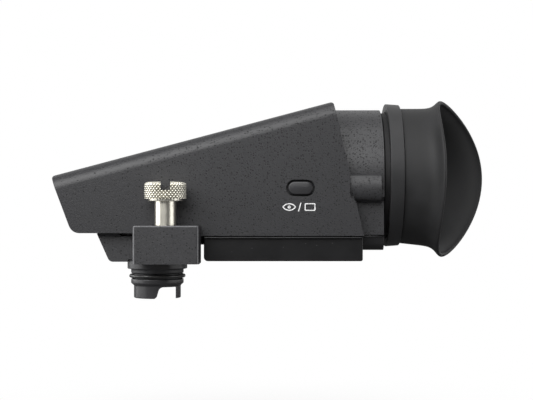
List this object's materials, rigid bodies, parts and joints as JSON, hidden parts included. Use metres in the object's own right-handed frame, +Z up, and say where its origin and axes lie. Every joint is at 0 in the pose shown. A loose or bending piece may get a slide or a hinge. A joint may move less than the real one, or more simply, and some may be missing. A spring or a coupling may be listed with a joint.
{
  "type": "electronic viewfinder",
  "caption": "Wedge-shaped electronic viewfinder with a round eyepiece and winged rubber eyecup, tilting on a camera foot with a sealed plug and a knurled thumbscrew.",
  "frame": {"origin": "on the underside of the foot, on the middle plane, in line with the connector's axis", "axes": "+X towards the eyepiece, +Y away from the thumbscrew side, +Z up from the camera"},
  "size_m": [0.1577, 0.0715, 0.0704],
  "materials": {
    "speckled_case": "casting in satin charcoal paint with a fine speckle",
    "dark_case": "satin black moulding",
    "cast_foot": "casting in fine-grained charcoal paint",
    "black_plastic": "satin black",
    "rubber": "soft satin black",
    "nickel": "warm nickel plate, knurled",
    "steel": "plain machined",
    "brass": "plain machined",
    "aluminium": "satin sheet and turned parts",
    "glass": "coated optical glass",
    "circuit_board": "green solder mask",
    "flex": "amber flexible circuit",
    "display": "black display glass"
  },
  "bodies": {
    "foot": {"mount_foot": "cast_foot", "foot_lid": "black_plastic", "plug_shell": "black_plastic", "plug_seal": "rubber", "contact_block": "black_plastic", "guide_bush": "brass", "hinge_pin_near": "steel", "hinge_pin_far": "steel", "hinge_washer_near_inner": "brass", "hinge_washer_near_outer": "brass", "hinge_washer_far_inner": "brass", "hinge_washer_far_outer": "brass", "foot_flex": "flex", "lid_screw_near": "steel", "lid_screw_far": "steel"},
    "clip": {"screw_clip": "steel"},
    "screw": {"thumbscrew": "nickel"},
    "head": {"housing": "speckled_case", "floor_plate": "aluminium", "lower_cover": "dark_case", "barrel_shell": "speckled_case", "rear_chin": "dark_case", "hinge_arm_near": "steel", "hinge_arm_far": "steel", "arm_screw_near": "steel", "arm_screw_far": "steel", "main_board": "circuit_board", "board_screw_1": "steel", "board_screw_2": "steel", "board_screw_3": "steel", "board_screw_4": "steel", "head_flex": "flex", "panel_frame": "black_plastic", "display_panel": "display", "panel_flex": "flex", "heat_spreader": "aluminium", "field_lens": "glass", "lens_tube": "black_plastic", "tube_nut": "aluminium", "tube_saddle": "aluminium", "eyepiece_window": "glass", "ring_retainer": "black_plastic", "button_guide": "black_plastic", "button_switch": "black_plastic", "switch_board": "circuit_board", "cover_screw_near": "steel", "cover_screw_far": "steel"},
    "button": {"button_cap": "dark_case", "switch_plunger": "brass"},
    "cup": {"eyecup_ring": "dark_case", "cup_collar": "black_plastic", "eyecup": "rubber"},
    "focus": {"lens_carrier": "black_plastic", "inner_lens": "glass", "eye_lens": "glass", "lens_keeper": "aluminium"},
    "dial": {"dioptre_dial": "black_plastic", "dial_crank": "steel"}
  },
  "joints": [
    {"name": "head_tilt", "type": "hinge", "parent": "foot", "child": "head", "pos_m": [-0.0155, 0, 0.0045], "axis": [0, -1, 0], "range_deg": [0, 40]},
    {"name": "screw_drop", "type": "slide", "parent": "foot", "child": "clip", "axis": [0, 0, -1], "range_m": [0, 0.008]},
    {"name": "screw_turn", "type": "hinge", "parent": "clip", "child": "screw", "pos_m": [0.004, -0.036, 0.0128], "axis": [0, 0, 1], "continuous": true},
    {"name": "button_press", "type": "slide", "parent": "head", "child": "button", "axis": [0, 1, 0], "range_m": [0, 0.0004], "stiffness_N_per_m": 500},
    {"name": "cup_turn", "type": "hinge", "parent": "head", "child": "cup", "pos_m": [0.0838, 0, 0.0304], "axis": [1, 0, 0], "continuous": true},
    {"name": "dial_turn", "type": "hinge", "parent": "head", "child": "dial", "pos_m": [0.0715, 0, 0.0257], "axis": [0, 1, 0], "range_deg": [-60, 60]},
    {"name": "focus_slide", "type": "slide", "parent": "head", "child": "focus", "axis": [1, 0, 0], "range_m": [-0.00173, 0.00173]}
  ],
  "couplings": [
    {"joint": "dial_turn", "follows": "focus_slide", "rad_per_m": 604.6}
  ]
}
